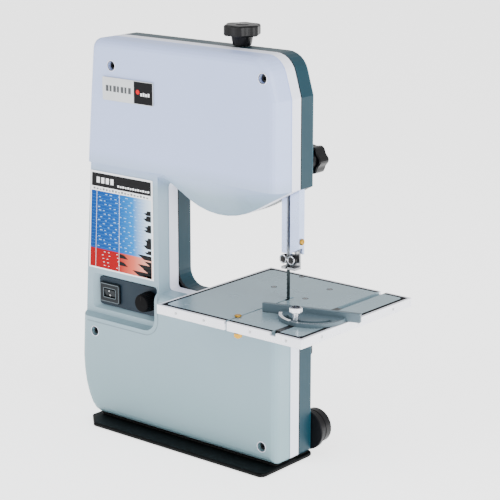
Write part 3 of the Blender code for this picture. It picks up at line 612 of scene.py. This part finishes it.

# Table: black strip of painted shade in the gap inside the rails, open at the blade slit and the
# mitre slot
table_low, table_high = box("table_plate")
top = table_high.z
x0, y0, x1, y1 = table_low.x, table_low.y, table_high.x, table_high.y
SEAM = 4.6
FILLET = 7
SLIT = (BLADE - 1.6, BLADE + 1.6)
SLOT = (222.8, 233.2)
inner_x, inner_y = (x0 + SEAM, x1 - SEAM), (y0 + SEAM, y1 - SEAM)
seams = [rect(x0, y0, SLIT[0], inner_y[0]), rect(SLIT[1], y0, SLOT[0], inner_y[0]),
         rect(SLOT[1], y0, x1, inner_y[0]), rect(x0, inner_y[1], SLOT[0], y1),
         rect(SLOT[1], inner_y[1], x1, y1), rect(x0, inner_y[0], inner_x[0], inner_y[1]),
         rect(inner_x[1], inner_y[0], x1, inner_y[1])]
for side_x, side_y in ((0, 0), (1, 0), (1, 1), (0, 1)):
    x, y = inner_x[side_x], inner_y[side_y]
    step_x, step_y = 1 - 2 * side_x, 1 - 2 * side_y
    fillet = [(x, y)]
    for k in range(7):
        t = math.radians(90 * k / 6)
        fillet.append((x + step_x * FILLET * (1 - math.sin(t)),
                       y + step_y * FILLET * (1 - math.cos(t))))
    seams.append(fillet)
bm = bmesh.new()
for outline in seams:
    slab(bm, "Z", outline, top - 1.0, top + 0.06)
store("table_seams", bm, painted_shade, "table")

# Table: flush cross-head screws, with dark rings and crosses of painted shade for the countersinks
# and cross recesses
TABLE_SCREWS = ((94, 66), (164, 48), (162, 106), (92, 132))
sinks = bmesh.new()
heads = bmesh.new()
crosses = bmesh.new()
for x, y in TABLE_SCREWS:
    collar(sinks, "Z", x, y, 3.0, 4.3, top - 0.5, top + 0.04, 24)
    collar(heads, "Z", x, y, AXLE, 3.0, top - 0.6, top + 0.05, 24)
    slab(crosses, "Z", rect(x - 2.2, y - 0.35, x + 2.2, y + 0.35), top, top + 0.09)
    slab(crosses, "Z", rect(x - 0.35, y - 2.2, x + 0.35, y + 2.2), top, top + 0.1)
store("table_screw_sinks", sinks, painted_shade, "table")
store("table_screw_heads", heads, zinc, "table")
store("table_screw_slots", crosses, black_ink_and_shade, "table")

# Rails: small screws
RAIL_SCREW_Z = 224.2
bm = bmesh.new()
for y in (-60, 20, 100):
    stud(bm, "X", y, RAIL_SCREW_Z, (2.0, 1.6), (274.9, 275.3, 275.6, 275.6), 18)
store("rail_screws_right", bm, steel, "table")
bm = bmesh.new()
for x in (60, 110, 190, 250):
    stud(bm, "Y", x, RAIL_SCREW_Z, (2.0, 1.6), (-103.3, -103.7, -104.0, -104.0), 18)
store("rail_screws_front", bm, steel, "table")

# Mitre gauge: ticks on the scale, marks on the head, knurls and a face ring on the clamp
PIVOT = (228.0, -18.0)
TURN = math.radians(17)
gauge_turn = Matrix.Translation(Vector((*PIVOT, 0))) @ Matrix.Rotation(TURN, 4, "Z")


def tick(bm, degrees, inner, outer, half, low, high):
    """Radial mark around the gauge's pivot, before the gauge is turned."""
    t = math.radians(degrees)
    outline = [(r * math.cos(t) - w * math.sin(t), r * math.sin(t) + w * math.cos(t))
               for r, w in ((inner, -half), (outer, -half), (outer, half), (inner, half))]
    slab(bm, "Z", outline, low, high)


bm = bmesh.new()
for k in range(14):
    tick(bm, 194 + 3.8 * k, 42.6 if k % 2 else 41.6, 45.0, 0.25, 236.85, 237.0)
bmesh.ops.transform(bm, matrix=gauge_turn, verts=bm.verts[:])
store("mitre_ticks", bm, black_ink_and_shade, "mitre_gauge")
bm = bmesh.new()
for k in range(34):
    tick(bm, 248 + 2.9 * k, 43.6 if k % 3 else 42.0, 45.2, 0.2, 236.0, 236.25)
bmesh.ops.transform(bm, matrix=gauge_turn, verts=bm.verts[:])
store("mitre_graduations", bm, grey_mark, "mitre_gauge")
low, high = box("mitre_knob")
knob_x = (low.x + high.x) / 2
knob_y = (low.y + high.y) / 2
KNURLS = 30
bm = bmesh.new()
for k in range(KNURLS):
    t = math.tau * k / KNURLS
    outline = [(knob_x + r * math.cos(t + a), knob_y + r * math.sin(t + a))
               for r, a in ((8.0, -0.06), (8.55, 0.0), (8.0, 0.06))]
    slab(bm, "Z", outline, 248.6, 253.2)
store("mitre_knurls", bm, nickel, "mitre_clamp")
bm = bmesh.new()
collar(bm, "Z", knob_x, knob_y, 3.2, 5.6, 254.2, 254.55, 24)
store("mitre_knob_face", bm, black_ink_and_shade, "mitre_clamp")

# Knobs: centre caps
bm = bmesh.new()
stud(bm, "Z", 57, 41, (9.5, 8.6), (600.6, 601.2, 601.8, 601.9), 32)
store("tension_cap", bm, gloss_black, "tension")
face = box("post_clamp_knob")[1].y
bm = bmesh.new()
stud(bm, "Y", 153.5, 421, (7.0, 6.2), (face - 0.3, face + 0.4, face + 1.0, face + 1.1), 28)
store("post_clamp_cap", bm, gloss_black, "post_clamp")

# Rear: housing screws, cooling slots and a bead on the dust port
REAR_SCREWS = ((-150, 545), (-20, 545), (130, 545), (-172, 300), (-175, 120), (60, 24), (-80, 24))
bm = bmesh.new()
for x, z in REAR_SCREWS:
    stud(bm, "Y", x, z, (4.0, 3.0), (55.2, 56.4, 57.3, 57.5), 20)
store("rear_screws", bm, black_oxide, "frame")
bm = bmesh.new()
# Cooling slots as dark strips of painted shade.
for k in range(7):
    z = 70 + 9 * k
    slab(bm, "Y", rect(-158, z, -96, z + 3.6), 55.0, 55.45)
store("cooling_slots", bm, painted_shade, "frame")
bm = bmesh.new()
spun(bm, "Y", 161, 36, [(24.8, 70), (25.6, 70.4), (25.6, 72.6), (24.8, 73)], 48)
store("dust_port_bead", bm, moulded, "frame")

# Stage: a plain floor that glows a little, and an even white world
WHITE = (1.0, 1.0, 1.0, 1.0)
bm = bmesh.new()
bmesh.ops.create_grid(bm, x_segments=1, y_segments=1, size=6.0)
mesh = bpy.data.meshes.new("floor")
bm.to_mesh(mesh)
bm.free()
floor = bpy.data.objects.new("floor", mesh)
floor.location = (0, 0, -0.0005)
bpy.context.scene.collection.objects.link(floor)
glow = floor_white.node_tree.nodes["Principled BSDF"]
glow.inputs["Emission Color"].default_value = WHITE
glow.inputs["Emission Strength"].default_value = 1.9
mesh.materials.append(floor_white)

world = bpy.data.worlds.new("studio")
bpy.context.scene.world = world
world.use_nodes = True
backdrop = world.node_tree.nodes["Background"]
backdrop.inputs["Color"].default_value = WHITE
backdrop.inputs["Strength"].default_value = 0.9

AIM = Vector((0.05, 0.0, 0.3))


def softbox(name, place, size, power):
    """Square area light aimed at the saw."""
    data = bpy.data.lights.new(name, "AREA")
    data.shape = "SQUARE"
    data.size = size
    data.energy = power
    ob = bpy.data.objects.new(name, data)
    ob.location = place
    ob.rotation_euler = (AIM - Vector(place)).to_track_quat("-Z", "Y").to_euler()
    bpy.context.scene.collection.objects.link(ob)


softbox("key", (-0.7, -2.2, 2.0), 1.6, 26)
softbox("side", (2.4, -0.2, 1.0), 1.4, 54)
softbox("top", (0.1, 0.2, 2.6), 1.8, 14)

# Camera: front right, looking slightly down, without lens shift
AZIMUTH = math.radians(39.6)
ELEVATION = math.radians(14.8)
camera_data = bpy.data.cameras.new("camera")
camera_data.sensor_width = 36
camera_data.lens = 124.7
camera = bpy.data.objects.new("camera", camera_data)
bpy.context.scene.collection.objects.link(camera)
camera.location = (1.566, -1.7665, 0.9054)
camera.rotation_euler = (math.pi / 2 - ELEVATION, 0, AZIMUTH)
bpy.context.scene.camera = camera
